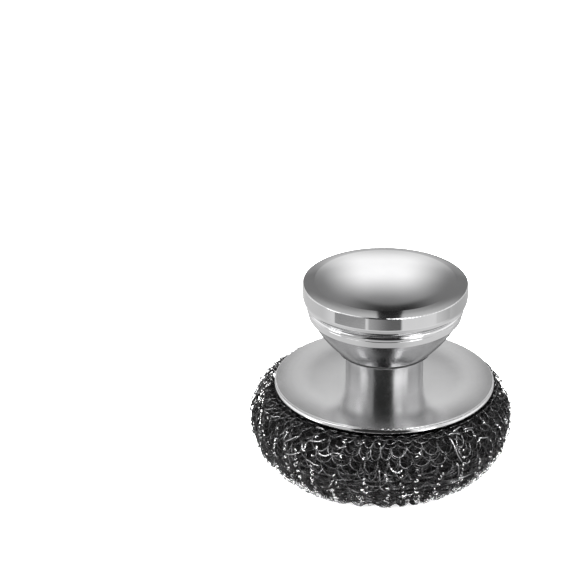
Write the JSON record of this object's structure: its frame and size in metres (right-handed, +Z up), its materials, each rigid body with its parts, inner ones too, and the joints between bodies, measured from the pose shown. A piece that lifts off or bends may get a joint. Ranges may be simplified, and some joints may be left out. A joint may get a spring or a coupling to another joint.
{
  "type": "pot scrubber",
  "caption": "Palm-held pot scrubber: a polished steel knob on a short neck and dished plate, bolted to a round knitted steel wire scouring pad.",
  "frame": {"origin": "centre of the pad's sole, on the surface that the scrubber stands on", "axes": "+Z up along the axis of the knob and bolt, -Y towards the viewer of the picture, +X to the viewer's right"},
  "size_m": [0.09, 0.09, 0.0727],
  "materials": {
    "polished_steel": "polished",
    "satin_steel": "satin",
    "fastener_steel": "satin",
    "black_seal": "matte",
    "wire_knit": "satin"
  },
  "bodies": {
    "pad": {"scouring_pad": "wire_knit", "centre_bolt": "fastener_steel", "spring_washer": "fastener_steel", "retaining_washer": "fastener_steel"},
    "handle": {"backing_plate": "satin_steel", "neck_sleeve": "polished_steel"},
    "seam": {"seam_washer": "black_seal"},
    "knob": {"knob_bowl": "polished_steel", "knob_cap": "polished_steel", "knob_nut": "fastener_steel"}
  },
  "joints": [
    {"name": "handle_lift", "type": "slide", "parent": "pad", "child": "handle", "axis": [0, 0, 1], "range_m": [0, 0.022]},
    {"name": "knob_rise", "type": "slide", "parent": "handle", "child": "seam", "axis": [0, 0, 1], "range_m": [0, 0.006]},
    {"name": "knob_turn", "type": "hinge", "parent": "seam", "child": "knob", "pos_m": [0, 0, 0.0454], "axis": [0, 0, 1], "range_deg": [0, 2160]}
  ],
  "couplings": [
    {"joint": "knob_rise", "follows": "knob_turn", "m_per_rad": 0.00015915}
  ]
}
